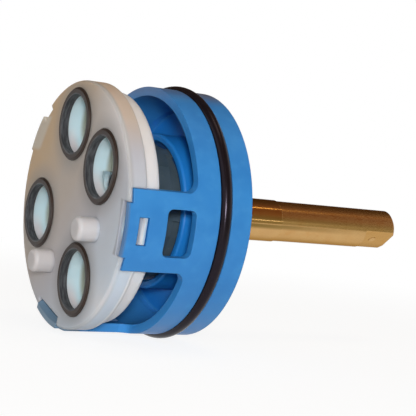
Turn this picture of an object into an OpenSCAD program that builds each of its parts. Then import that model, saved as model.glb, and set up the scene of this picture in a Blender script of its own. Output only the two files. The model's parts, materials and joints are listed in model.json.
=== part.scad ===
// Shower mixing cartridge with four ports, laid on its stem axis.
// The stem axis is +X, +Z is up, and the origin is the middle of the seat face.
// Inside a piece, z is the distance from the seat face and angles run from +Y to +Z.

/* [Port plate] */
// Outer diameter of the plate's rim
plate_d = 54; // [53:0.5:54.5]
// Thickness of the rim behind the seat face
rim_t = 4; // [3.6:0.1:4.6]
// Thickness of the whole plate, rim and rear spigot
plate_t = 7.7; // [7.4:0.1:9]
// Rounding of the rim's front edge
rim_edge = 0.6; // [0.3:0.1:1]
// Diameter of the two locating pegs
peg_d = 5.2; // [4:0.1:6]
// Length of a peg in front of the seat face
peg_l = 4.6; // [3:0.1:6]
// Rounding of a peg's tip
peg_edge = 0.9; // [0.3:0.1:1.2]
// Thickness of the thin lip that covers the narrow leg
lip_t = 1.2; // [0.8:0.1:1.6]
// Width of the thin lip
lip_w = 9.1; // [8.8:0.1:9.6]
// How far the thin lip stands out past the rim
lip_out = 0.4; // [0.1:0.1:0.6]
// Width of the open key notch in the rim
key_w = 4.4; // [3:0.1:5]
// Depth of the recess in front of a tongue, inwards from the spigot
tip_recess = 1.3; // [0.6:0.1:1.6]
// Distance of the upper peg from the stem axis
upper_peg_r = 13.4; // [13:0.1:13.8]
// Distance of the lower peg from the stem axis
lower_peg_r = 15.7; // [15.3:0.1:16]

/* [Ports] */
// Distance of the cold port from the stem axis
cold_r = 15.4; // [15:0.1:15.8]
// Distance of the hot port from the stem axis
hot_r = 17.6; // [17.2:0.1:17.8]
// Distance of the tub port from the stem axis
tub_r = 17.4; // [17:0.1:17.6]
// Distance of the shower port from the stem axis
shower_r = 16.5; // [16.1:0.1:16.9]
// Bore of a port seal and of the port's mouth behind it
port_bore = 13; // [11.6:0.1:13.4]
// Diameter of the seal pocket round a port
pocket_d = 16; // [15.6:0.1:16.2]
// Depth of a seal pocket
pocket_h = 1.4; // [1:0.1:2.4]
// How far a port seal stands out of the seat face
seal_out = 0.4; // [0.2:0.1:0.8]
// Depth of a port from the seat face to its closed floor
port_h = 5.6; // [5:0.1:5.8]
// Bore of an inner opening towards the discs
gate_bore = 6; // [5:0.1:6.2]
// Distance of the inner openings from the stem axis
gate_ring = 8.8; // [8.6:0.1:9.4]

/* [Housing] */
// Diameter of the flange and the band
housing_d = 55; // [54.8:0.1:57]
// Thickness of the flange behind the sealing ring
flange_t = 4.8; // [4:0.1:6]
// Width of the band in front of the sealing ring
band_w = 5.4; // [4.5:0.1:6.5]
// Wall of the band and of the legs
band_wall = 2; // [1.8:0.1:2.2]
// Wall left inside the sealing ring's groove
groove_wall = 2.3; // [1.8:0.1:3]
// Thickness of the closed end between boss and band
web_t = 3; // [2.5:0.1:4]
// Wall of the boss that holds the discs
boss_wall = 1.75; // [1.6:0.05:3]
// Height of the boss from the rear face
boss_h = 10.6; // [10:0.1:12]
// Rounding of the boss's front edge
boss_edge = 0.6; // [0.3:0.1:0.8]
// Chamfer of the boss's mouth
boss_lead = 0.3; // [0.1:0.1:0.5]
// Thickness of the end wall behind the thrust washer
wall_t = 3.8; // [3.5:0.1:5]
// Outer diameter of the collar round the stem
collar_d = 18; // [15:0.5:22]
// Length of the collar behind the flange
collar_l = 6; // [5:0.5:8]

/* [Legs] */
// Width of a wide leg
leg_w = 16.8; // [15:0.1:18]
// Width of the tongue on a wide leg
tongue_w = 11.1; // [9:0.1:12]
// How far a tongue stands out of the seat face
tongue_out = 0.1; // [0.1:0.1:1]
// How much thinner a tongue is at its tip
tip_lead = 0.8; // [0.3:0.1:1]
// Depth of the shoulders behind the seat face
shoulder_z = 0.9; // [0.7:0.1:1.3]
// Width of the narrow leg under the lip
narrow_w = 8.6; // [7:0.1:9]
// Width of a snap slot
slot_w = 5.7; // [4.5:0.1:6]
// Length of a snap slot along the stem axis
slot_l = 2.3; // [1.6:0.1:2.6]
// Width of a leg window
window_w = 10; // [8:0.1:10.4]
// Length of a leg window along the stem axis
window_l = 6.7; // [5:0.1:7]
// Corner radius of a leg window
window_r = 1.3; // [0.8:0.1:2]
// Fillet where a leg meets the band
root_r = 2.4; // [1.5:0.1:3]

/* [Discs and driver] */
// Thickness of the fixed disc
fixed_t = 4.5; // [4:0.1:5.5]
// Outer diameter of the turning disc
turning_d = 25.6; // [25:0.1:26]
// Thickness of the turning disc
turning_t = 4; // [3.6:0.1:5]
// Wall of the cage round the discs
cage_wall = 1.85; // [1.6:0.05:2]
// Length of the driver along the stem axis
driver_l = 7.3; // [7:0.1:9]
// Thickness of the thrust washer
washer_t = 1.1; // [0.8:0.1:1.6]
// Travel of the stem between its stops, in degrees
travel = 240; // [180:5:260]
// Angle of the driver's stop lug, in degrees
lug_a = 50; // [40:1:60]

/* [Stem] */
// Diameter of the stem in its bore
stem_d = 9.9; // [9.5:0.1:10.5]
// Diameter of the handle end of the stem
handle_d = 9.5; // [9:0.1:9.8]
// Length of the stem behind the flange
stem_l = 57.4; // [45:0.1:80]
// Length of the thicker part behind the flange
journal_l = 23.2; // [15:0.1:30]
// Length of the handle flat
flat_l = 9.1; // [8:0.1:20]
// Depth of the handle flat
flat_h = 1.6; // [0.8:0.1:1.8]
// Chamfer of the stem's end
stem_edge = 0.8; // [0.3:0.1:1]
// Diameter of the collar that the driver turns
key_d = 14.8; // [13.5:0.1:15.4]
// Distance across the collar's two flats
key_flats = 11; // [10:0.1:12]

/* [Sealing rings] */
// Section of the sealing ring round the housing
ring_d = 2.65; // [2.4:0.05:2.8]
// Section of the stem's sealing rings
stem_ring_d = 1.5; // [1.3:0.1:1.8]
// Thickness of the retaining clip
clip_t = 1; // [0.8:0.1:1.2]
// Diameter of the retaining clip
clip_d = 14.4; // [13.5:0.1:16]

/* [Hidden] */

$fn = 96;

// Clearances: a snug fit, a running fit and a free gap
snug = 0.1;
running = 0.05;
free = 0.3;
// Film between the two lapped discs
film = 0.03;
// Overrun that cuts clean through a face
cut = 1;
// Least edge left at the end of a fillet
blunt = 0.05;

// Angle of each port and its distance from the stem axis, in the order of the seals
PORTS = [[145, cold_r], [82.5, hot_r], [-10.5, tub_r], [252.5, shower_r]];
// The two locating pegs, in the same form
PEGS = [[199, upper_peg_r], [302, lower_peg_r]];
// Middle of each wide leg, of the narrow leg and of the key notch
WIDE_LEGS = [186.6, 286];
narrow_a = 33.5;
key_a = 48.5;

// Places along the stem axis, counted from the seat face
seal_gap = 0.3;
tip_l = 1.8;
nub_z = shoulder_z + 1.65;
window_gap = 0.15;
fixed_z = plate_t + seal_gap;
turning_z = fixed_z + fixed_t + film;
driver_z = turning_z + turning_t;
hub_z = driver_z + driver_l;
wall_z = hub_z + snug + washer_t;
rear_z = wall_z + wall_t;
web_z = rear_z - web_t;
groove_w = ring_d + 0.25;
groove_z = rear_z - flange_t - groove_w;
band_z = groove_z - band_w;
boss_z = rear_z - boss_h;
collar_z = rear_z + collar_l;

// Radii round the stem axis
band_r = housing_d / 2;
leg_in = band_r - band_wall;
spigot_r = leg_in - snug;
groove_r = band_r - ring_d * 0.66;
pit_r = groove_r - groove_wall;
disc_lip = 0.8;
disc_d = turning_d + 2 * disc_lip;
cage_in = disc_d / 2 + snug;
cage_out = cage_in + cage_wall;
boss_in = cage_out + snug;
boss_r = boss_in + boss_wall;
driver_r = cage_in - free;
boss_bore = driver_r + disc_lip;
stem_bore = stem_d / 2 + running;

// Cage: a step near the boss with keys that reach the boss
cage_step = 1;
cage_keys = 6;
key_rib_w = 2.4;
gate_w = 6.4;
gate_depth = 0.5;
gate_lead = 2.4;
boss_step = 0.8;
cage_l = boss_z + boss_step - plate_t;
cage_step_z = boss_z - 1.5;

// Keys inside the cage that hold the fixed disc
DISC_KEYS = [20, 200];
disc_key_w = 2.8;
disc_key_h = 1.1;

// Ports: draft of their walls, the passage near their floor, and the seals behind it
pocket_draft = 0.1;
port_draft = 0.4;
passage_h = 2;
passage_z = port_h - passage_h;
gate_pocket = gate_bore + 2.5;
gate_floor = 0.7;
gate_pocket_h = plate_t - port_h - gate_floor;

// Driver
pocket_floor = 2;
driver_rim = driver_l - 1.5;
hub_r = key_d / 2 + 2.7;
rib_in = hub_r + 0.5;
lug_z = wall_z - free;
rib_z = driver_z + driver_rim + free;
lug_margin = 1.5;
rib_a = 360 - travel - lug_a - 2 * lug_margin;
lug_start = 60;
drive_w = 6;
drive_h = 2.2;

// Stem
pilot_r = 3;
pilot_l = 1.2;
ring_groove_w = stem_ring_d + 0.2;
ring_groove_r = stem_bore - stem_ring_d;
inner_ring_z = wall_z + 1.2;
outer_ring_z = collar_z - 1.2 - ring_groove_w;
clip_gap = 0.25;
clip_z = collar_z + clip_gap;
clip_groove_r = stem_d / 2 - 0.75;
flat_a = 233;
spot_back = 5;
spot_d = 2;
spot_h = 0.5;

// Lays a piece that was drawn along z on the stem axis
module lay() rotate([90, 0, 90]) children();

// Turns a piece to an angle round the axis
module at(a) rotate(a) children();

// A tube with its first face at z
module tube(outer, inner, z, h) {
    translate([0, 0, z]) difference() {
        cylinder(r = outer, h = h);
        translate([0, 0, -cut]) cylinder(r = inner, h = h + 2 * cut);
    }
}

// Part of a tube, from one angle over a sweep
module sector(outer, inner, z, h, start, sweep) {
    translate([0, 0, z]) rotate(start) rotate_extrude(angle = sweep)
        translate([inner, 0]) square([outer - inner, h]);
}

// A disc whose edge at z = 0 is rounded
module round_disc(r, h, edge) {
    rotate_extrude() {
        square([r - edge, h]);
        translate([0, edge]) square([r, h - edge]);
        translate([r - edge, edge]) circle(edge);
    }
}

// A ring of round section
module o_ring(section, inner, z) {
    translate([0, 0, z]) rotate_extrude()
        translate([inner + section / 2, section / 2]) circle(d = section, $fn = 48);
}

// A slot across the rim at angle 0, deeper than the spigot that closes its bottom
module rim_slot(w, z, h) {
    translate([spigot_r - 2, -w / 2, z]) cube([band_r, w, h]);
}

// A round pit down to z = h whose wall leans by its draft, from d at z = from
module drafted(d, from, h, draft) {
    slope = draft / (h - from);
    translate([0, 0, -cut])
        cylinder(d1 = d + slope * (cut + from), d2 = d - draft, h = h + cut);
}

// One port: seal pocket, bore, and the passage inwards to its opening
module port_cut(port) {
    at(port[0]) {
        translate([port[1], 0, 0]) {
            drafted(pocket_d + pocket_draft, 0, pocket_h, pocket_draft);
            drafted(port_bore, pocket_h, port_h, port_draft);
        }
        translate([gate_ring, -gate_bore / 2, passage_z])
            cube([port[1] - gate_ring, gate_bore, passage_h]);
        translate([gate_ring, 0, passage_z]) cylinder(d = gate_bore, h = plate_t);
        translate([gate_ring, 0, plate_t - gate_pocket_h])
            cylinder(d = gate_pocket, h = gate_pocket_h + cut);
    }
}

// A peg with a rounded tip that points away from the seat face
module peg() {
    translate([0, 0, -peg_l]) round_disc(peg_d / 2, peg_l + cut, peg_edge);
}

// The snap nub that fills a leg's slot, with a ramp on its front
module nub() {
    nub_w = slot_w - 2 * snug;
    nub_l = slot_l - snug - free;
    nub_h = band_wall - 0.3;
    translate([spigot_r - cut, nub_w / 2, nub_z + snug]) rotate([90, 0, 0])
        linear_extrude(nub_w)
            polygon([[0, 0], [cut + nub_h * 0.45, 0], [cut + nub_h, nub_l * 0.45],
                [cut + nub_h, nub_l], [0, nub_l]]);
}

// The rim with its thin lip, the slots for the legs and the key notch
module plate_rim() {
    lip_half = asin(lip_w / plate_d);
    difference() {
        union() {
            round_disc(plate_d / 2, rim_t, rim_edge);
            sector(plate_d / 2 + lip_out, spigot_r - cut, 0, lip_t,
                narrow_a - lip_half, 2 * lip_half);
        }
        for (a = WIDE_LEGS) at(a) rim_slot(leg_w + 2 * snug, shoulder_z - snug, rim_t);
        at(narrow_a) rim_slot(narrow_w + 2 * snug, lip_t, rim_t);
        at(key_a) rim_slot(key_w, -cut, rim_t + 2 * cut);
    }
}

module port_plate() {
    color("#c9c6c4") lay() {
        difference() {
            union() {
                plate_rim();
                cylinder(r = spigot_r, h = plate_t);
                for (p = PEGS) at(p[0]) translate([p[1], 0, 0]) peg();
            }
            for (p = PORTS) port_cut(p);
            // Flat recess that leaves room round a tongue's tip
            for (a = WIDE_LEGS) at(a)
                translate([spigot_r - tip_recess, -tongue_w / 2 - snug, -cut])
                    cube([band_r, tongue_w + 2 * snug, tip_l + cut]);
            // Coring between the inner openings, open to the rear
            translate([0, 0, plate_t - 2]) cylinder(r = 3, h = 2 + cut);
        }
        for (a = concat(WIDE_LEGS, [narrow_a])) at(a) nub();
    }
}

// A port seal: a square ring with a rounded lip towards the valve
module port_seal(port) {
    color("#2a211f") lay() at(port[0]) translate([port[1], 0, -seal_out])
        rotate_extrude() difference() {
            translate([port_bore / 2, 0])
                square([pocket_d / 2 - port_bore / 2, pocket_h + seal_out]);
            translate([pocket_d / 2, 0]) circle(seal_out);
        }
}

// An inner seal between an opening of the plate and the fixed disc
module gate_seal(port) {
    seal_h = gate_pocket_h + seal_gap;
    color("#1d1d1f") lay() at(port[0])
        translate([gate_ring, 0, plate_t - gate_pocket_h]) rotate_extrude()
            translate([gate_bore / 2, 0])
                square([(gate_pocket - gate_bore) / 2, seal_h]);
}

module cold_inlet_seal() port_seal(PORTS[0]);
module hot_inlet_seal() port_seal(PORTS[1]);
module tub_outlet_seal() port_seal(PORTS[2]);
module shower_outlet_seal() port_seal(PORTS[3]);
module cold_gate_seal() gate_seal(PORTS[0]);
module hot_gate_seal() gate_seal(PORTS[1]);
module tub_gate_seal() gate_seal(PORTS[2]);
module shower_gate_seal() gate_seal(PORTS[3]);

// A rectangle with rounded corners, centred across and starting at y
module round_rect(w, y, l, r) {
    translate([-w / 2 + r, y]) square([w - 2 * r, l]);
    translate([-w / 2, y + r]) square([w, l - 2 * r]);
    for (sx = [-1, 1], ey = [y + r, y + l - r])
        translate([sx * (w / 2 - r), ey]) circle(r, $fn = 48);
}

// The flat outline of a leg: across is x, along the stem axis is y
module leg_outline(w, end_z, tongue) {
    difference() {
        union() {
            translate([-w / 2, end_z]) square([w, band_z + cut - end_z]);
            if (tongue)
                translate([-tongue_w / 2, -tongue_out])
                    square([tongue_w, end_z + tongue_out + cut]);
            for (s = [-1, 1]) difference() {
                translate([s * (w / 2 + root_r / 2), band_z - root_r / 2])
                    square([root_r, root_r + 2 * cut], center = true);
                translate([s * (w / 2 + root_r - blunt), band_z - root_r - blunt])
                    circle(root_r, $fn = 48);
                translate([s * (w / 2 + root_r / 2), band_z - root_r - cut - blunt])
                    square([root_r, 2 * cut], center = true);
            }
        }
        translate([-slot_w / 2, nub_z]) square([slot_w, slot_l]);
        if (tongue)
            round_rect(window_w, band_z - window_gap - window_l, window_l, window_r);
    }
}

// That outline, run outwards through the band's wall
module leg_shape(w, end_z, tongue) {
    rotate([90, 0, 90]) linear_extrude(band_r + 2 * cut) leg_outline(w, end_z, tongue);
}

// What is cut away from the shell to leave the three legs
module leg_spaces() {
    difference() {
        tube(band_r + cut, leg_in - cut, -tongue_out - cut, band_z + tongue_out + cut);
        for (a = WIDE_LEGS) at(a) leg_shape(leg_w, shoulder_z, true);
        at(narrow_a) leg_shape(narrow_w, lip_t + snug, false);
    }
}

// The pit between the boss and the band, wider towards the front and at the tongues' tips
module pit() {
    front_z = -tongue_out - cut;
    taper_l = groove_z + groove_w - band_z;
    lead_l = 1.2;
    lead_slope = tip_lead / lead_l;
    difference() {
        union() {
            translate([0, 0, front_z]) {
                cylinder(r = leg_in, h = band_z - front_z);
                cylinder(r1 = leg_in + tip_lead + lead_slope * cut,
                    r2 = leg_in - lead_slope * cut, h = lead_l + 2 * cut);
            }
            translate([0, 0, band_z]) cylinder(r1 = leg_in, r2 = pit_r, h = taper_l);
            translate([0, 0, band_z]) cylinder(r = pit_r, h = web_z - band_z);
        }
        translate([0, 0, boss_z]) round_disc(boss_r, boss_h, boss_edge);
    }
}

module housing() {
    color("#2f86cf") lay() {
        difference() {
            union() {
                translate([0, 0, -tongue_out]) cylinder(r = band_r, h = rear_z + tongue_out);
                translate([0, 0, rear_z - cut]) cylinder(d = collar_d, h = collar_l + cut);
            }
            tube(band_r + cut, groove_r, groove_z, groove_w);
            pit();
            leg_spaces();
            // Inside of the boss, its seat for the cage, and the stem's bore
            translate([0, 0, boss_z - cut]) cylinder(r = boss_in, h = boss_step + cut);
            translate([0, 0, boss_z - boss_lead])
                cylinder(r1 = boss_in + 2 * boss_lead, r2 = boss_in, h = 2 * boss_lead);
            translate([0, 0, boss_z]) cylinder(r = boss_bore, h = wall_z - boss_z);
            translate([0, 0, wall_z - cut])
                cylinder(r = stem_bore, h = wall_t + collar_l + 2 * cut);
        }
        // Stop rib that the driver's lug meets at both ends of its travel
        sector(boss_bore + cut, rib_in, rib_z, wall_z + cut - rib_z,
            lug_start - lug_margin - rib_a, rib_a);
    }
}

module body_o_ring() {
    color("#1b1718") lay() o_ring(ring_d, groove_r, groove_z + (groove_w - ring_d) / 2);
}

// Sleeve between the plate and the boss that holds the fixed disc square
module disc_cage() {
    key_a_half = asin(key_rib_w / 2 / cage_out);
    color("#2e3438") lay() {
        difference() {
            tube(cage_out, cage_in, plate_t, cage_l);
            for (i = [0:cage_keys - 1]) at(i * 360 / cage_keys) {
                // Step near the boss, between two keys that reach the boss's full bore
                sector(cage_out + cut, cage_out - cage_step, cage_step_z, cage_l,
                    key_a_half, 360 / cage_keys - 2 * key_a_half);
                // Shallow gate moulded in the side
                at(180 / cage_keys) translate([cage_out - gate_depth, -gate_w / 2, plate_t + gate_lead])
                    cube([cut, gate_w, cage_step_z - plate_t]);
            }
        }
        // Two keys that stop the fixed disc from turning
        for (a = DISC_KEYS) at(a) translate([cage_in - disc_key_h, -disc_key_w / 2, fixed_z])
            cube([disc_key_h + 0.4, disc_key_w, fixed_t - free]);
    }
}

module fixed_disc() {
    color("#4a4f52") lay() difference() {
        translate([0, 0, fixed_z]) cylinder(d = disc_d, h = fixed_t);
        for (p = PORTS) at(p[0]) translate([gate_ring, 0, fixed_z - cut])
            cylinder(d = gate_bore, h = fixed_t + 2 * cut);
        for (a = DISC_KEYS) at(a)
            translate([cage_in - disc_key_h - snug, -disc_key_w / 2 - snug, fixed_z - cut])
                cube([disc_key_h + cut, disc_key_w + 2 * snug, fixed_t + 2 * cut]);
    }
}

// The turning disc joins the openings through a curved pocket in its front face
module turning_disc() {
    color("#6a6f72") lay() difference() {
        translate([0, 0, turning_z]) cylinder(d = turning_d, h = turning_t);
        sector(gate_ring + gate_bore / 2, gate_ring - gate_bore / 2,
            turning_z - cut, cut + turning_t / 2, 95, 120);
        for (a = [0, 180]) at(a) translate([turning_d / 2 - drive_h, -drive_w / 2, turning_z - cut])
            cube([drive_h + cut, drive_w, turning_t + 2 * cut]);
    }
}

module disc_driver() {
    drive_in = turning_d / 2 - drive_h + snug;
    rim_z = driver_z + driver_rim;
    color("#23262a") lay() {
        difference() {
            translate([0, 0, driver_z]) cylinder(r = driver_r, h = lug_z - driver_z);
            // Relief round the hub, everywhere but at the stop lug
            sector(driver_r + cut, hub_r, rim_z, lug_z - rim_z + cut,
                lug_start + lug_a, 360 - lug_a);
            translate([0, 0, hub_z]) cylinder(r = hub_r + blunt, h = driver_l);
            // Pocket with two flats for the stem's collar, and its pilot hole
            translate([0, 0, driver_z + pocket_floor]) key_shape(running, driver_l);
            translate([0, 0, driver_z + pocket_floor - pilot_l])
                cylinder(r = pilot_r + running, h = driver_l);
        }
        // Two drive lugs that reach into the disc's notches
        for (a = [0, 180]) at(a) intersection() {
            translate([drive_in, -drive_w / 2 + snug, turning_z + free])
                cube([drive_h, drive_w - 2 * snug, turning_t]);
            tube(turning_d / 2, drive_in - cut, turning_z, turning_t + cut);
        }
    }
}

// The stem's collar: a round with two flats, grown by a clearance
module key_shape(grow, h) {
    intersection() {
        cylinder(r = key_d / 2 + grow, h = h);
        translate([-key_d, -key_flats / 2 - grow, 0])
            cube([2 * key_d, key_flats + 2 * grow, h]);
    }
}

module thrust_washer() {
    color("#e6e2d8") lay() tube(hub_r - 0.3, stem_d / 2 + free, wall_z - washer_t, washer_t);
}

module stem() {
    collar_front = driver_z + pocket_floor;
    color("#b98a3e") lay() difference() {
        union() {
            translate([0, 0, collar_front]) key_shape(0, hub_z - collar_front);
            translate([0, 0, collar_front - pilot_l]) cylinder(r = pilot_r, h = pilot_l + cut);
            translate([0, 0, hub_z - cut])
                cylinder(d = stem_d, h = rear_z + journal_l - hub_z + cut);
            rotate_extrude() stem_end_outline();
        }
        tube(stem_d, ring_groove_r, inner_ring_z, ring_groove_w);
        tube(stem_d, ring_groove_r, outer_ring_z, ring_groove_w);
        tube(stem_d, clip_groove_r, clip_z, clip_t + 0.1);
        // Handle flat with a set screw's spot
        at(flat_a) {
            translate([handle_d / 2 - flat_h, -stem_d, rear_z + stem_l - flat_l])
                cube([stem_d, 2 * stem_d, flat_l + cut]);
            translate([handle_d / 2 - flat_h - spot_h, 0, rear_z + stem_l - spot_back])
                rotate([0, 90, 0]) cylinder(d1 = spot_d * 0.4, d2 = spot_d, h = spot_h + 0.01);
        }
    }
}

// Half outline of the handle end, with its chamfer
module stem_end_outline() {
    r = handle_d / 2;
    end_z = rear_z + stem_l;
    polygon([[0, rear_z + journal_l - cut], [r, rear_z + journal_l - cut],
        [r, end_z - stem_edge], [r - stem_edge, end_z], [0, end_z]]);
}

module stem_ring(z) {
    color("#151414") lay() o_ring(stem_ring_d - 0.02, ring_groove_r, z + 0.1);
}
module inner_stem_ring() stem_ring(inner_ring_z);
module outer_stem_ring() stem_ring(outer_ring_z);

// External clip with two ears and their plier holes
module retaining_clip() {
    ear_d = 3;
    ear_a = 24;
    gap_w = 3.2;
    mid_r = (clip_d / 2 + clip_groove_r) / 2;
    color("#9a9da0") lay() translate([0, 0, clip_z]) at(90) difference() {
        union() {
            tube(mid_r + 0.7, clip_groove_r, 0, clip_t);
            for (s = [-1, 1]) at(s * ear_a) translate([mid_r + 0.2, 0, 0])
                cylinder(d = ear_d, h = clip_t);
        }
        translate([0, -gap_w / 2, -cut]) cube([clip_d, gap_w, clip_t + 2 * cut]);
        translate([0, 0, -cut]) cylinder(r = clip_groove_r, h = clip_t + 2 * cut);
        for (s = [-1, 1]) at(s * ear_a) translate([mid_r + 0.2, 0, -cut])
            cylinder(d = 1.2, h = clip_t + 2 * cut, $fn = 24);
    }
}

port_plate();
cold_inlet_seal();
hot_inlet_seal();
tub_outlet_seal();
shower_outlet_seal();
cold_gate_seal();
hot_gate_seal();
tub_gate_seal();
shower_gate_seal();
housing();
body_o_ring();
disc_cage();
fixed_disc();
turning_disc();
disc_driver();
thrust_washer();
stem();
inner_stem_ring();
outer_stem_ring();
retaining_clip();
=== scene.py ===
"""A shower mixing cartridge, dressed for a plain studio picture.

The part lies on its stem axis: +X runs from the seat face to the handle end and +Z is up.
Angles are degrees and lengths are millimetres, apart from the frame's own, which are metres.
"""

import json
import math

import bpy
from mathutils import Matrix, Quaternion, Vector


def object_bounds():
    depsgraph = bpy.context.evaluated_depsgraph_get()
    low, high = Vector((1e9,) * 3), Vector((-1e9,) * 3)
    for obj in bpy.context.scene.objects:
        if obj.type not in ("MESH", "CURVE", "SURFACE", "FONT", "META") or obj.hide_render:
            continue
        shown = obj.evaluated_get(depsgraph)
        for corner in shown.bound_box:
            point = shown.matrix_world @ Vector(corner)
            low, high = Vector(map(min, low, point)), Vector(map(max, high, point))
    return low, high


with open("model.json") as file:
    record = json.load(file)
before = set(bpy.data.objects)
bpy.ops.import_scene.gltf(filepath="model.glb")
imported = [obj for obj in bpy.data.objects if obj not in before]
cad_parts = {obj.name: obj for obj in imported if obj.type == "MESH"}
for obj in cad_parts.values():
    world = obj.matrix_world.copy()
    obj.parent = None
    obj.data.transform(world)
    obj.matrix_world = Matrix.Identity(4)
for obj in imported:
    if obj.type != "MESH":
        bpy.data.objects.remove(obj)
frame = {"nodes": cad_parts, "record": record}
CAD_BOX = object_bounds()

MM = 0.001

# The colour sockets of a Mix node: its two inputs and its result
MIX_COLOURS = (6, 7)
MIX_RESULT = 2

# How deep the fine relief of a surface is, and the samples that round its sharp edges
RELIEF = 0.05
EDGE_SAMPLES = 6

# Camera, as fitted to the circles of the part: its bearing and rise point back along its view
CAMERA_PLACE = Vector((-113.3, -248.0, 10.8))
CAMERA_BEARING = -30.76
CAMERA_RISE = 1.80
CAMERA_ROLL = 5.95
IMAGE_SIDE_PIXELS = 416
FOCAL_PIXELS = 1253.4
SENSOR_WIDTH = 36.0
CLIP_START = 10.0

# Studio: the point that the lamps look at, the floor, and the dark room, which has a low wall in
# front of the part and a half pipe over it
CENTRE = Vector((28.0, 0.0, 0.0))
FLOOR_SIDE = 6000.0
ROOM_RADIUS = 800.0
ROOM_LENGTH = (-700.0, 900.0)
ROOM_END = 165.0
ROOM_STEPS = 24
WALL_PLACE = 110.0
WALL_TOP = -2.0

# Each lamp's bearing and rise from the centre, its distance, its size across and high, the light
# that it gives a white surface, and its colour
LAMPS = {
    "key": (-28.0, 8.0, 600.0, (70.0, 70.0), 0.74, (0.96, 0.98, 1.0)),
    "ceiling": (20.0, 80.0, 600.0, (240.0, 240.0), 0.10, (1.0, 0.80, 0.60)),
    "bulb": (62.7, 52.2, 611.0, (36.0, 36.0), 0.0045, (1.0, 0.70, 0.30)),
    "strip": (34.5, 1.6, 626.0, (50.0, 16.0), 0.0028, (1.0, 0.98, 0.90)),
}

# The soft light from all round, and the white that is seen behind the part
WHITE = (1.0, 1.0, 1.0)
ROOM_LIGHT = (0.95, 0.90, 0.84)
ROOM_LEVEL = 0.26

# The floor's grey as it lights the part. As it is seen, it glows, with a faint grey that takes the
# shadows, and fades to white between two distances from the centre
FLOOR_GREY = (0.80, 0.80, 0.80)
FLOOR_FAINT = (0.22, 0.22, 0.22)
FLOOR_GLOW = 0.86
FLOOR_FADE = (70.0, 260.0)

# The dim room's colour from the ground in front, over the part and down behind it
ROOM_TINT_START = -20.0
ROOM_TINT_SWEEP = 180.0
ROOM_TINTS = [
    (0.03, (0.40, 0.37, 0.23)),
    (0.11, (0.33, 0.31, 0.18)),
    (0.19, (0.25, 0.20, 0.10)),
    (0.31, (0.28, 0.15, 0.08)),
    (0.42, (0.22, 0.10, 0.045)),
    (0.52, (0.27, 0.13, 0.07)),
    (0.64, (0.15, 0.08, 0.045)),
    (0.76, (0.10, 0.06, 0.04)),
]

# Places and radii that the frame gives, in millimetres
PLACES = {mount["name"]: Vector(mount["pos_m"]) / MM for mount in frame["record"]["mounts"]}
RADII = {mount["name"]: mount["dims"].get("r_mm") for mount in frame["record"]["mounts"]}
PORTS = ["cold_inlet", "hot_inlet", "tub_outlet", "shower_outlet"]
PORT_RADIUS = RADII["cold_inlet"]
FLANGE_RADIUS = RADII["flange_rim"]
FLANGE_BACK = PLACES["clamp_face"].x

# Depths behind the seat face: the back of the plate's rim, a port's floor, the journal's end
RIM_DEPTH = 4.0
PORT_DEPTH = 5.6
JOURNAL_END = 52.0

# Radii: of a seal's outside and its bore, of the plate's rim and the floor of the leg's recess in
# it, and just inside the housing's hollow and its boss's mouth
SEAL_RADIUS = 8.0
SEAL_BORE = 6.72
RIM_RADIUS = 27.0
RECESS_RADIUS = 23.9
HOLLOW_RADIUS = 23.2
BOSS_MOUTH = 15.6

# Where the thin lip and the wide leg are round the stem axis, counted from +Y up towards +Z
LIP_ANGLE = 33.5
LEG_ANGLE = 186.6

# The plate's colour across the face, with painted light: cool at its lower right and warm at its upper
# left
PLATE_LIGHT_SLANT_START = -30.0
PLATE_LIGHT_SLANT_LENGTH = 68.0
PLATE_COLOUR_AND_LIGHT = [
    (0.02, (0.63, 0.70, 0.78)),
    (0.20, (0.55, 0.58, 0.63)),
    (0.36, (0.51, 0.50, 0.53)),
    (0.56, (0.51, 0.44, 0.385)),
    (0.68, (0.50, 0.43, 0.37)),
    (0.92, (0.56, 0.395, 0.235)),
]


class Wire:
    """A node's socket that can be used in a sum, like a number."""

    def __init__(self, shade, socket):
        self.shade = shade
        self.socket = socket

    def apply(self, operation, first, second):
        """What a Math node makes of two numbers."""
        return self.shade.node("ShaderNodeMath", {"operation": operation}, {0: first, 1: second})

    def __add__(self, other):
        return self.apply("ADD", self, other)

    def __radd__(self, other):
        return self.apply("ADD", other, self)

    def __sub__(self, other):
        return self.apply("SUBTRACT", self, other)

    def __rsub__(self, other):
        return self.apply("SUBTRACT", other, self)

    def __mul__(self, other):
        return self.apply("MULTIPLY", self, other)

    def __rmul__(self, other):
        return self.apply("MULTIPLY", other, self)

    def __truediv__(self, other):
        return self.apply("DIVIDE", self, other)

    def __pow__(self, other):
        return self.apply("POWER", self, other)

    def __neg__(self):
        return self.apply("SUBTRACT", 0.0, self)

    def larger(self, other):
        return self.apply("MAXIMUM", self, other)

    def smaller(self, other):
        return self.apply("MINIMUM", self, other)

    def above(self, low, high):
        """Rises smoothly from 0 at low to 1 at high."""
        settings = {"interpolation_type": "SMOOTHSTEP"}
        inputs = {"Value": self, "From Min": low, "From Max": high}
        return self.shade.node("ShaderNodeMapRange", settings, inputs)

    def below(self, low, high):
        """Falls smoothly from 1 at low to 0 at high."""
        return 1.0 - self.above(low, high)

    def turn_from(self, other):
        """The angle whose sine goes with this and whose cosine goes with the other."""
        return self.apply("ARCTAN2", self, other) * math.degrees(1.0)


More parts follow.
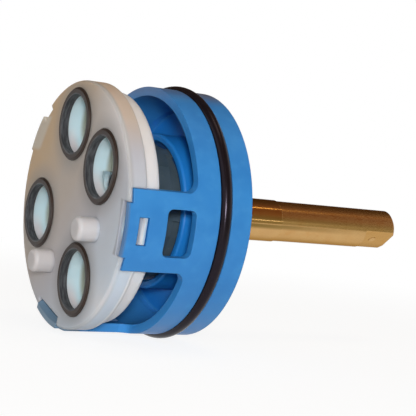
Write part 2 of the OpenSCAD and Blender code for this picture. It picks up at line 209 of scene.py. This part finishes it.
class Shade:
    """A node tree that is written with calls and sums."""

    def __init__(self, tree):
        self.tree = tree
        self.tree.nodes.clear()

    def node(self, kind, settings=None, inputs=None, output=0):
        """Adds a node: its settings first, then the values or links of its sockets."""
        made = self.tree.nodes.new(kind)
        for name, value in (settings or {}).items():
            if name == "stops":
                set_stops(made.color_ramp, value)
            else:
                setattr(made, name, value)
        for name, value in (inputs or {}).items():
            if isinstance(value, Wire):
                self.tree.links.new(value.socket, made.inputs[name])
            else:
                made.inputs[name].default_value = value
        return Wire(self, made.outputs[output]) if made.outputs else None

    def place(self):
        """The point on the piece, in millimetres of the part's own frame."""
        here = self.node("ShaderNodeTexCoord", output="Object")
        return self.node("ShaderNodeVectorMath", {"operation": "SCALE"}, {0: here, "Scale": 1 / MM})

    def axes(self, vector):
        """The three numbers of a vector."""
        split = self.node("ShaderNodeSeparateXYZ", inputs={0: vector})
        sockets = split.socket.node.outputs
        return [Wire(self, sockets[i]) for i in range(3)]

    def noise(self, vector, size, detail=3.0, roughness=0.5):
        """Cloudy noise from 0 to 1, whose blotches are about size across."""
        inputs = {"Vector": vector, "Scale": 1 / size, "Detail": detail, "Roughness": roughness}
        return self.node("ShaderNodeTexNoise", inputs=inputs)

    def stretched(self, vector, x, y, z):
        """The vector with each axis scaled, for grain that runs one way."""
        return self.node("ShaderNodeVectorMath", {"operation": "MULTIPLY"}, {0: vector, 1: (x, y, z)})

    def mix(self, mask, first, second):
        """A colour that goes from first to second with the mask."""
        settings = {"data_type": "RGBA"}
        made = self.node("ShaderNodeMix", settings, {"Factor": mask}, output=MIX_RESULT)
        for index, value in zip(MIX_COLOURS, (first, second)):
            socket = made.socket.node.inputs[index]
            if isinstance(value, Wire):
                self.tree.links.new(value.socket, socket)
            else:
                socket.default_value = (*value, 1.0)
        return made

    def paint(self, base, coats):
        """The base colour under coats in turn: each a mask, a strength and a colour."""
        for mask, strength, colour in coats:
            base = self.mix(mask * strength, base, colour)
        return base

    def edges(self, radius, height, strength):
        """A normal that rounds sharp edges over a radius and has a fine relief."""
        rounded = self.node("ShaderNodeBevel", {"samples": EDGE_SAMPLES}, {"Radius": radius * MM})
        inputs = {"Height": height, "Strength": strength, "Distance": RELIEF * MM, "Normal": rounded}
        return self.node("ShaderNodeBump", inputs=inputs)


def set_stops(ramp, stops):
    """Gives a colour ramp its stops: pairs of a place and a colour."""
    while len(ramp.elements) < len(stops):
        ramp.elements.new(0.5)
    for element, (place, colour) in zip(ramp.elements, stops):
        element.position = place
        element.color = (*colour, 1.0)


def new_material(name, sockets, write):
    """A material whose surface is one Principled shader.

    write(shade) returns what its varying sockets get, and sockets holds the constant ones.
    """
    material = bpy.data.materials.new(name)
    material.use_nodes = True
    shade = Shade(material.node_tree)
    inputs = dict(sockets)
    inputs.update(write(shade))
    surface = shade.node("ShaderNodeBsdfPrincipled", inputs=inputs)
    shade.node("ShaderNodeOutputMaterial", inputs={"Surface": surface})
    return material


def reach(first, second):
    """How far two measures at right angles reach together."""
    return (first ** 2.0 + second ** 2.0) ** 0.5


def along(y, z, angle):
    """How far a point lies from the stem axis in the direction that an angle gives."""
    turn = math.radians(angle)
    return y * math.cos(turn) + z * math.sin(turn)


def beside_leg(y, z, near, far):
    """1 up to a near distance from the wide leg's middle line, and 0 beyond a far one."""
    across = along(y, z, LEG_ANGLE - 90.0)
    return (across ** 2.0).below(near ** 2, far ** 2)


def near_port(y, z):
    """The distance from the nearest port's centre, and the height over it inside its bore.

    The search starts from the rim's radius, since every point of the plate is nearer to a port.
    """
    nearest = RIM_RADIUS
    height = 0.0
    for name in PORTS:
        centre = PLACES[name]
        across = reach(y - centre.y, z - centre.z)
        nearest = across.smaller(nearest)
        height = across.below(PORT_RADIUS, PORT_RADIUS + 0.1) * (z - centre.z) + height
    return nearest, height


def port_colour(shade, x, nearest, height):
    """A port's wall: pale with painted light, pink low down at the front, and olive with painted shade
    towards its floor.
    """
    low = height.below(-5.0, 0.5)
    front = x.below(2.2, 4.2)
    painted_shade_deep = x.above(PORT_DEPTH - 1.7, PORT_DEPTH - 0.4)
    bore = nearest.below(PORT_RADIUS + 0.05, PORT_RADIUS + 0.2)
    # Painted light makes the wall pale, and painted shade turns it olive towards its floor
    return shade.paint((0.60, 0.76, 0.81), [
        (low * front, 0.8, (0.72, 0.62, 0.62)),
        (painted_shade_deep, bore, (0.36, 0.39, 0.33)),
    ])


def plate_face(shade, place, nearest):
    """The plate's face: its colour with a slanting painted light, paler with painted light in front, and
    painted shade round the seals and at the edge.
    """
    x, y, z = shade.axes(place)
    cloud = shade.noise(place, size=14.0)
    # Painted light: the plate's colour slants from cool at the lower right to warm at the upper left
    light_slant = (z + y * 0.9 + cloud * 8.0 - PLATE_LIGHT_SLANT_START) / PLATE_LIGHT_SLANT_LENGTH
    tint = shade.node("ShaderNodeValToRGB", {"stops": PLATE_COLOUR_AND_LIGHT}, {"Fac": light_slant})
    face = x.below(0.2, 1.2)
    # Painted light: the face is paler towards the front, but not in the wide leg's shade
    front = (-y).above(4.0, 20.0) * (1.0 - beside_leg(y, z, 7.75, 17.32) * 0.95)
    # Painted shade: the face darkens round each seal
    seal_painted_shade = nearest.below(SEAL_RADIUS - 0.4, SEAL_RADIUS + 4.6)
    # Painted shade: darker on the face's rounded outer edge on its front half, more so in its upper part
    edge_painted_shade = reach(y, z).above(RIM_RADIUS - 0.6, RIM_RADIUS - 0.2) * x.below(0.4, 1.4)
    shaded = z.above(-14.0, -4.0) * 0.35 + 0.3
    return shade.paint(tint, [
        (front * face, 0.6, (0.83, 0.81, 0.81)),
        (seal_painted_shade * face, 0.5, (0.27, 0.25, 0.24)),
        (edge_painted_shade * (-y).above(-4.0, 6.0), shaded, (0.36, 0.35, 0.34)),
    ])


def plate_colour(shade, place):
    """The whole plate: its face, then painted shade in the leg's recess, painted light on the lip and
    rim, then the pegs, spigot and ports.
    """
    x, y, z = shade.axes(place)
    radius = reach(y, z)
    nearest, height = near_port(y, z)
    under_leg = beside_leg(y, z, 5.48, 6.0) * (-y).above(10.0, 12.0)
    recess = radius.above(RECESS_RADIUS - 0.7, RECESS_RADIUS) * under_leg
    before_spigot = x.below(RIM_DEPTH - 0.1, RIM_DEPTH + 0.1)
    # Painted light: the thin lip is paler where light passes through it
    lip = along(y, z, LIP_ANGLE).above(22.3, 24.0) * z.above(10.6, 11.8) * z.below(18.4, 19.2)
    # Painted light: warmer on the top of the rim, lit from above
    rim_top_warm_light = x.above(0.5, 1.2) * z.above(12.0, 24.0)
    # Painted light: near white on the lower back edge of the rim, lifting the shade there
    low_back = x.above(RIM_DEPTH - 0.8, RIM_DEPTH - 0.2) * z.below(-8.0, 2.0)
    rim_back_painted_light = low_back * radius.above(RIM_RADIUS - 1.0, RIM_RADIUS - 0.7)
    peg = x.below(-1.0, -0.1)
    spigot = x.above(RIM_DEPTH - 0.15, RIM_DEPTH + 0.15)
    port = x.above(0.3, 0.9) * radius.below(24.0, 24.3)
    return shade.paint(plate_face(shade, place, nearest), [
        # Painted shade in the leg's recess, in front of the spigot
        (recess * before_spigot, 0.8, (0.35, 0.36, 0.40)),
        (lip, 0.6, (0.62, 0.60, 0.54)),
        (rim_top_warm_light, 0.45, (0.80, 0.58, 0.42)),
        (rim_back_painted_light, 0.9, (0.97, 0.96, 0.95)),
        (peg, 0.85, (0.60, 0.57, 0.565)),
        (spigot, 0.7, (0.86, 0.82, 0.80)),
        (recess * spigot, 0.7, (0.56, 0.76, 0.90)),
        (port, 1.0, port_colour(shade, x, nearest, height)),
    ])


def milky_plate():
    """Milky translucent plastic with a fine moulded grain."""
    def write(shade):
        place = shade.place()
        fine = shade.noise(place, size=0.8, detail=4.0)
        return {"Base Color": plate_colour(shade, place), "Roughness": 0.42 + 0.1 * fine,
                "Normal": shade.edges(radius=0.3, height=fine, strength=0.12)}

    sockets = {"Subsurface Weight": 0.9, "Subsurface Radius": (1.0, 0.9, 0.85),
               "Subsurface Scale": 2.5 * MM, "IOR": 1.48, "Specular IOR Level": 0.35}
    return new_material("milky_plate", sockets, write)


def seal_rubber():
    """Brown-black moulded rubber, with a painted grey streaky sheen on its bore."""
    def write(shade):
        place = shade.place()
        y, z = shade.axes(place)[1:]
        blotch = shade.noise(place, size=1.6, detail=4.0)
        grain = shade.noise(place, size=0.25)
        streak = shade.noise(shade.stretched(place, 2.2, 0.35, 0.35), size=1.0, detail=4.0, roughness=0.6)
        colour = shade.mix(blotch.above(0.4, 0.7), (0.020, 0.010, 0.006), (0.034, 0.018, 0.011))
        # Painted sheen: grey streaks on the wall of the seal's bore
        bore_sheen = shade.mix(streak.above(0.35, 0.75), (0.032, 0.032, 0.036), (0.108, 0.111, 0.118))
        bore = near_port(y, z)[0].below(SEAL_BORE, SEAL_BORE + 0.1)
        colour = shade.mix(bore, colour, bore_sheen)
        return {"Base Color": colour, "Roughness": 0.42 + 0.2 * blotch,
                "Normal": shade.edges(radius=0.12, height=grain, strength=0.15)}

    return new_material("seal_rubber", {"Specular IOR Level": 0.35}, write)


def inner_rubber():
    """Black rubber of the seals between the plate and the fixed disc."""
    def write(shade):
        place = shade.place()
        grain = shade.noise(place, size=0.3)
        colour = shade.mix(grain, (0.016, 0.016, 0.018), (0.032, 0.032, 0.035))
        return {"Base Color": colour, "Roughness": 0.5 + 0.15 * grain,
                "Normal": shade.edges(radius=0.1, height=grain, strength=0.15)}

    return new_material("inner_rubber", {}, write)


def ring_rubber():
    """Near-black greased rubber, shinier in soft smears."""
    def write(shade):
        place = shade.place()
        smear = shade.noise(place, size=3.0, detail=4.0)
        grain = shade.noise(place, size=0.3)
        colour = shade.mix(smear, (0.006, 0.0045, 0.006), (0.011, 0.008, 0.010))
        return {"Base Color": colour, "Roughness": 0.18 + 0.12 * smear,
                "Normal": shade.edges(radius=0.05, height=grain, strength=0.06)}

    sockets = {"Specular IOR Level": 0.20, "Specular Tint": (0.86, 0.72, 0.95, 1.0)}
    return new_material("ring_rubber", sockets, write)


def housing_coats(x, y, z):
    """Painted light and shade on the housing's plain blue, from its hollow to the tips of its tongues."""
    radius = reach(y, z)
    before_wall = x.below(FLANGE_BACK - 1.4, FLANGE_BACK - 0.6)
    # Painted light: a more saturated blue inside the hollow
    hollow = radius.below(HOLLOW_RADIUS - 0.6, HOLLOW_RADIUS) * before_wall
    # Painted shade: near black inside the boss's mouth
    boss_mouth_shade = radius.below(BOSS_MOUTH - 0.3, BOSS_MOUTH) * before_wall
    # Painted light: a paler blue low down, lit from the floor
    bottom_painted_light = z.below(-25.0, -12.0) * (1.0 - hollow)
    outside = radius.above(FLANGE_RADIUS - 3.5, FLANGE_RADIUS - 2.5)
    # Painted shade: a warm grey on the top of the outer rim, stronger on the flange
    top_painted_shade = outside * z.above(FLANGE_RADIUS - 3.5, FLANGE_RADIUS - 0.1)
    on_flange = x.above(22.0, 24.0)
    # Painted shade: greyer at the tongues' tips
    tip_painted_shade = x.below(0.0, 0.5)
    # Painted shade: grey-blue on the lower tongue
    lower_tongue_painted_shade = x.below(4.0, 5.0) * z.below(-21.0, -18.0)
    return [
        (hollow, 0.7, (0.004, 0.20, 0.64)),
        (boss_mouth_shade, 0.85, (0.003, 0.025, 0.10)),
        (bottom_painted_light, 0.5, (0.055, 0.32, 0.72)),
        (top_painted_shade, on_flange * 0.35 + 0.35, (0.17, 0.14, 0.13)),
        (tip_painted_shade, 0.5, (0.10, 0.16, 0.26)),
        (lower_tongue_painted_shade, 0.95, (0.15, 0.24, 0.33)),
    ]


def blue_plastic():
    """Satin moulded plastic with a fine spark-eroded texture."""
    def write(shade):
        place = shade.place()
        cloud = shade.noise(place, size=9.0)
        blotch = shade.noise(place, size=2.2, detail=4.0)
        grain = shade.noise(place, size=0.35, detail=4.0, roughness=0.6)
        blue = shade.mix(cloud.above(0.3, 0.7), (0.024, 0.205, 0.545), (0.034, 0.243, 0.60))
        blue = shade.mix(blotch.above(0.45, 0.8) * 0.35, blue, (0.055, 0.29, 0.62))
        colour = shade.paint(blue, housing_coats(*shade.axes(place)))
        return {"Base Color": colour, "Roughness": 0.38 + 0.14 * blotch,
                "Normal": shade.edges(radius=0.25, height=grain, strength=0.16)}

    return new_material("blue_plastic", {"IOR": 1.47}, write)


def cage_plastic():
    """Charcoal glass-filled plastic with pale specks of filler."""
    def write(shade):
        place = shade.place()
        cloud = shade.noise(place, size=3.5)
        speck = shade.noise(place, size=0.5, detail=2.0).above(0.70, 0.78)
        grain = shade.noise(place, size=0.3)
        colour = shade.mix(cloud, (0.034, 0.056, 0.072), (0.076, 0.106, 0.126))
        colour = shade.mix(speck * 0.5, colour, (0.16, 0.17, 0.17))
        return {"Base Color": colour, "Roughness": 0.34 + 0.18 * cloud,
                "Normal": shade.edges(radius=0.15, height=grain, strength=0.25)}

    return new_material("cage_plastic", {}, write)


def disc_ceramic():
    """Dense grey ceramic, lapped to a soft mirror."""
    def write(shade):
        place = shade.place()
        grain = shade.noise(place, size=0.4)
        colour = shade.mix(grain, (0.062, 0.066, 0.070), (0.085, 0.09, 0.094))
        return {"Base Color": colour, "Roughness": 0.12 + 0.1 * grain,
                "Normal": shade.edges(radius=0.1, height=grain, strength=0.03)}

    return new_material("disc_ceramic", {"IOR": 1.7}, write)


def driver_plastic():
    """Black glass-filled plastic of the driver."""
    def write(shade):
        place = shade.place()
        cloud = shade.noise(place, size=2.5)
        grain = shade.noise(place, size=0.25)
        colour = shade.mix(cloud, (0.014, 0.016, 0.018), (0.030, 0.032, 0.036))
        return {"Base Color": colour, "Roughness": 0.45 + 0.15 * cloud,
                "Normal": shade.edges(radius=0.15, height=grain, strength=0.25)}

    return new_material("driver_plastic", {}, write)


def washer_plastic():
    """Cream low-friction plastic."""
    def write(shade):
        place = shade.place()
        cloud = shade.noise(place, size=2.0)
        colour = shade.mix(cloud, (0.72, 0.69, 0.62), (0.80, 0.77, 0.70))
        return {"Base Color": colour, "Roughness": 0.4 + 0.1 * cloud,
                "Normal": shade.edges(radius=0.1, height=cloud, strength=0.05)}

    return new_material("washer_plastic", {}, write)


def turned_brass():
    """Turned brass: fine rings round the axis, soft bands, tarnish, a dark painted reflection streak
    along it and painted shade underneath.
    """
    def write(shade):
        place = shade.place()
        x, y, z = shade.axes(place)
        rings = shade.noise(shade.stretched(place, 9.0, 0.10, 0.10), size=1.0, detail=5.0, roughness=0.65)
        bands = shade.noise(shade.stretched(place, 0.35, 0.2, 0.2), size=1.0)
        tarnish = shade.noise(place, size=3.0, detail=4.0).above(0.5, 0.8)
        turn = z.turn_from(-y)
        # Painted reflection: a dark streak along the stem, just below its front, fading out towards the
        # handle end
        streak = turn.above(-25.0, -14.0) * turn.below(-10.0, -6.0) * x.below(40.0, 84.0)
        # Painted shade: darker on the stem's underside
        underside_painted_shade = z.below(-4.8, -3.2)
        brass = shade.mix(bands, (0.55, 0.325, 0.130), (0.62, 0.395, 0.165))
        colour = shade.paint(brass, [
            (tarnish, 0.4, (0.55, 0.27, 0.075)),
            (streak, 0.95, (0.21, 0.13, 0.034)),
            (underside_painted_shade, 0.6, (0.36, 0.22, 0.10)),
        ])
        drawn = x.above(JOURNAL_END - 0.5, JOURNAL_END + 1.0)
        return {"Base Color": colour, "Roughness": 0.08 + 0.12 * drawn + 0.10 * rings,
                "Normal": shade.edges(radius=0.12, height=rings, strength=0.12)}

    sockets = {"Metallic": 1.0, "Specular Tint": (0.62, 0.48, 0.34, 1.0)}
    return new_material("turned_brass", sockets, write)


def clip_steel():
    """Bright spring steel with a fine grain."""
    def write(shade):
        place = shade.place()
        grain = shade.noise(shade.stretched(place, 1.0, 6.0, 1.0), size=0.8)
        colour = shade.mix(grain, (0.42, 0.425, 0.43), (0.56, 0.565, 0.57))
        return {"Base Color": colour, "Roughness": 0.24 + 0.12 * grain,
                "Normal": shade.edges(radius=0.08, height=grain, strength=0.08)}

    return new_material("clip_steel", {"Metallic": 1.0}, write)


FINISHES = {
    "plate_plastic": milky_plate,
    "seal_rubber": seal_rubber,
    "inner_rubber": inner_rubber,
    "blue_plastic": blue_plastic,
    "ring_rubber": ring_rubber,
    "cage_plastic": cage_plastic,
    "disc_ceramic": disc_ceramic,
    "driver_plastic": driver_plastic,
    "washer_plastic": washer_plastic,
    "stem_brass": turned_brass,
    "clip_steel": clip_steel,
}


def finish_nodes():
    """Gives each node the material of its slot in the record."""
    made = {slot: write() for slot, write in FINISHES.items()}
    for part in frame["record"]["subparts"]:
        node = frame["nodes"][part["node"]]
        node.data.materials.clear()
        node.data.materials.append(made[part["material_slot"]])


def towards(bearing, rise):
    """A unit vector: bearing 0 is the camera's side, -Y, bearing 90 is +X, and rise 90 is up."""
    turn = math.radians(bearing)
    lift = math.radians(rise)
    return Vector((math.sin(turn) * math.cos(lift), -math.cos(turn) * math.cos(lift), math.sin(lift)))


def aim(thing, place, target):
    """Puts a lamp or a camera at a place, looking at a target."""
    thing.location = place * MM
    thing.rotation_mode = "QUATERNION"
    thing.rotation_quaternion = (place - target).to_track_quat("Z", "Y")


def add_camera():
    """The camera at the photo's angle."""
    data = bpy.data.cameras.new("camera")
    data.sensor_width = SENSOR_WIDTH
    data.lens = FOCAL_PIXELS / IMAGE_SIDE_PIXELS * SENSOR_WIDTH
    data.clip_start = CLIP_START * MM
    camera = bpy.data.objects.new("camera", data)
    bpy.context.collection.objects.link(camera)
    aim(camera, CAMERA_PLACE, CAMERA_PLACE - towards(CAMERA_BEARING, CAMERA_RISE))
    camera.rotation_quaternion @= Quaternion((0, 0, 1), math.radians(CAMERA_ROLL))
    bpy.context.scene.camera = camera


def add_lamps():
    """The soft lamps, each turned towards the centre."""
    for name, (bearing, rise, distance, size, level, colour) in LAMPS.items():
        data = bpy.data.lights.new(name, "AREA")
        data.shape = "RECTANGLE"
        data.size = size[0] * MM
        data.size_y = size[1] * MM
        data.color = colour
        data.energy = level * math.pi ** 2 * (distance * MM) ** 2
        lamp = bpy.data.objects.new(name, data)
        bpy.context.collection.objects.link(lamp)
        aim(lamp, CENTRE + towards(bearing, rise) * distance, CENTRE)


def seen_rays(shade):
    """1 for the rays that show the background: straight, mirrored or passed through."""
    kinds = ("Is Camera Ray", "Is Glossy Ray", "Is Transmission Ray")
    wires = [shade.node("ShaderNodeLightPath", output=kind) for kind in kinds]
    return wires[0].larger(wires[1]).larger(wires[2])


def flat_light(shade, kind, colour, strength):
    """A background or an emission of one colour and strength."""
    return shade.node(kind, inputs={"Color": (*colour, 1.0), "Strength": strength})


def matt(shade, colour):
    """A plain matt surface."""
    return shade.node("ShaderNodeBsdfDiffuse", inputs={"Color": (*colour, 1.0)})


def add_world():
    """Soft room light, and a white background for the rays that see it."""
    world = bpy.data.worlds.new("room")
    world.use_nodes = True
    bpy.context.scene.world = world
    shade = Shade(world.node_tree)
    room = flat_light(shade, "ShaderNodeBackground", ROOM_LIGHT, ROOM_LEVEL)
    white = flat_light(shade, "ShaderNodeBackground", WHITE, 1.0)
    both = shade.node("ShaderNodeMixShader", inputs={0: seen_rays(shade), 1: room, 2: white})
    shade.node("ShaderNodeOutputWorld", inputs={"Surface": both})


def add_sheet(name, corners, faces):
    """A plain sheet of the studio, with an empty material to write."""
    mesh = bpy.data.meshes.new(name)
    mesh.from_pydata(corners, [], faces)
    sheet = bpy.data.objects.new(name, mesh)
    bpy.context.collection.objects.link(sheet)
    material = bpy.data.materials.new(name)
    material.use_nodes = True
    mesh.materials.append(material)
    return sheet, Shade(material.node_tree)


def add_floor():
    """A white floor that keeps the part's shadow and fades into the white behind it."""
    low = CAD_BOX[0].z
    side = FLOOR_SIDE * MM
    corners = [(-side, -side, low), (side, -side, low), (side, side, low), (-side, side, low)]
    shade = add_sheet("floor", corners, [(0, 1, 2, 3)])[1]
    x, y = shade.axes(shade.place())[:2]
    plain = matt(shade, FLOOR_GREY)
    faint = matt(shade, FLOOR_FAINT)
    glow = flat_light(shade, "ShaderNodeEmission", WHITE, FLOOR_GLOW)
    white = flat_light(shade, "ShaderNodeEmission", WHITE, 1.0)
    near = shade.node("ShaderNodeAddShader", inputs={0: faint, 1: glow})
    fade = reach(x - CENTRE.x, y).above(*FLOOR_FADE)
    seen = shade.node("ShaderNodeMixShader", inputs={0: fade, 1: near, 2: white})
    both = shade.node("ShaderNodeMixShader", inputs={0: seen_rays(shade), 1: plain, 2: seen})
    shade.node("ShaderNodeOutputMaterial", inputs={"Surface": both})


def add_dark_room():
    """A dim room round the white ground, seen only in the part's gloss.

    It rises from the ground in front of the part and passes over it as a half pipe.
    """
    sides = [(-WALL_PLACE, CAD_BOX[0].z / MM), (-WALL_PLACE, WALL_TOP)]
    for i in range(ROOM_STEPS + 1):
        turn = math.radians(ROOM_END) * i / ROOM_STEPS
        sides.append((-ROOM_RADIUS * math.cos(turn), ROOM_RADIUS * math.sin(turn)))
    corners = [Vector((x, *side)) * MM for side in sides for x in ROOM_LENGTH]
    faces = [(2 * i, 2 * i + 1, 2 * i + 3, 2 * i + 2) for i in range(len(sides) - 1)]
    room, shade = add_sheet("dark_room", corners, faces)
    y, z = shade.axes(shade.place())[1:]
    rise = (z.turn_from(-y) - ROOM_TINT_START) / ROOM_TINT_SWEEP
    tint = shade.node("ShaderNodeValToRGB", {"stops": ROOM_TINTS}, {"Fac": rise})
    dim = shade.node("ShaderNodeEmission", inputs={"Color": tint, "Strength": 1.0})
    shade.node("ShaderNodeOutputMaterial", inputs={"Surface": dim})
    room.visible_camera = False
    room.visible_diffuse = False
    room.visible_transmission = False
    room.visible_shadow = False


add_camera()
add_world()
add_lamps()
add_floor()
add_dark_room()
finish_nodes()
bpy.context.scene.view_settings.view_transform = "Standard"
